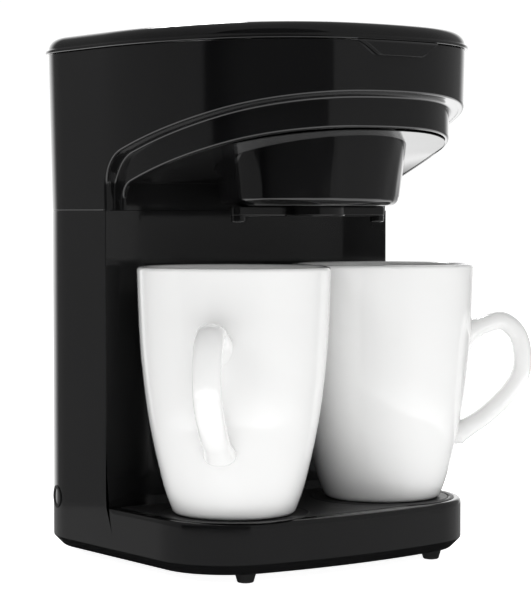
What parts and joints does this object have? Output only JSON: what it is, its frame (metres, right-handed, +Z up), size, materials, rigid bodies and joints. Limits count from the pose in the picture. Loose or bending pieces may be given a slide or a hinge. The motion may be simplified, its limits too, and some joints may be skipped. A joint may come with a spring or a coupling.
{
  "type": "drip coffee maker",
  "caption": "Compact black drip coffee maker with a deep D-shaped head over an open mug bay; it brews through a lift-out filter cup into tall white mugs on a low base",
  "frame": {"origin": "on the surface the machine stands on, at the centre of its four feet, on its plane of symmetry", "axes": "+Z up, -Y out of the front (the side the mugs are taken from), +X to the machine's left as it looks out, which is the right of a person facing it"},
  "size_m": [0.1943, 0.1865, 0.2375],
  "materials": {
    "black_shell": "polished moulded black plastic",
    "black_gloss_panel": "mirror-polished black plastic",
    "black_matte": "fine-textured black plastic",
    "foot_rubber": "matte rubber",
    "steel_plain": "zinc-plated steel",
    "steel_bright": "bright drawn stainless steel",
    "aluminium": "extruded aluminium",
    "mesh_nylon": "fine woven nylon",
    "silicone": "translucent silicone",
    "white_plastic": "natural white plastic",
    "wire_sleeve": "glass-fibre and silicone sleeve",
    "rocker_red": "translucent red plastic",
    "white_glaze": "glossy white glaze"
  },
  "bodies": {
    "machine": {"base_shell": "black_shell", "column_left": "black_shell", "column_right": "black_shell", "column_back": "black_shell", "column_panel": "black_gloss_panel", "base_plate": "black_matte", "feet": "foot_rubber", "base_screws": "steel_plain", "upper_housing": "black_shell", "head_band": "black_shell", "head_underside": "black_shell", "brew_drum": "black_shell", "outlet_channel": "black_shell", "top_deck": "black_matte", "water_tank": "black_matte", "tank_rim": "black_matte", "tank_seal": "silicone", "check_valve": "white_plastic", "inlet_hose": "silicone", "water_tube": "aluminium", "heating_element": "aluminium", "heater_clamps": "steel_plain", "outlet_hose": "silicone", "riser_tube": "steel_bright", "thermostat": "steel_plain", "thermal_fuses": "steel_plain", "terminal_block": "white_plastic", "internal_wires": "wire_sleeve", "switch_housing": "black_matte", "cord_bush": "foot_rubber", "hinge_pins": "steel_bright"},
    "lid": {"lid": "black_shell", "lid_channel": "black_matte"},
    "basket": {"filter_basket": "black_matte"},
    "filter": {"filter_frame": "black_matte", "filter_mesh": "mesh_nylon"},
    "bail": {"filter_handle": "black_matte"},
    "rocker": {"switch_rocker": "rocker_red"},
    "tray": {"mug_plate": "black_matte"},
    "left_mug": {"mug_left": "white_glaze"},
    "right_mug": {"mug_right": "white_glaze"}
  },
  "joints": [
    {"name": "lid_hinge", "type": "hinge", "parent": "machine", "child": "lid", "pos_m": [0, 0.0785, 0.2264], "axis": [-1, 0, 0], "range_deg": [0, 95]},
    {"name": "basket_lift", "type": "slide", "parent": "machine", "child": "basket", "axis": [0, 0, 1], "range_m": [0, 0.0642]},
    {"name": "filter_lift", "type": "slide", "parent": "basket", "child": "filter", "axis": [0, 0, 1], "range_m": [0, 0.0302]},
    {"name": "bail_turn", "type": "hinge", "parent": "filter", "child": "bail", "pos_m": [0, -0.0397, 0.2232], "axis": [-1, 0, 0], "range_deg": [0, 85.5]},
    {"name": "switch_tilt", "type": "hinge", "parent": "machine", "child": "rocker", "pos_m": [0.0786, 0.024, 0.052], "axis": [0, -1, 0], "range_deg": [0, 18]},
    {"name": "tray_lift", "type": "slide", "parent": "machine", "child": "tray", "axis": [0, 0, 1], "range_m": [0, 0.015]},
    {"name": "left_mug_out", "type": "slide", "parent": "tray", "child": "left_mug", "axis": [0, -1, 0], "range_m": [0, 0.2]},
    {"name": "right_mug_out", "type": "slide", "parent": "tray", "child": "right_mug", "axis": [0, -1, 0], "range_m": [0, 0.2]}
  ],
  "couplings": [
    {"joint": "basket_lift", "follows": "lid_hinge", "m_per_rad": 0.038599},
    {"joint": "filter_lift", "follows": "lid_hinge", "m_per_rad": 0.018093},
    {"joint": "bail_turn", "follows": "lid_hinge", "ratio": 0.89474}
  ]
}
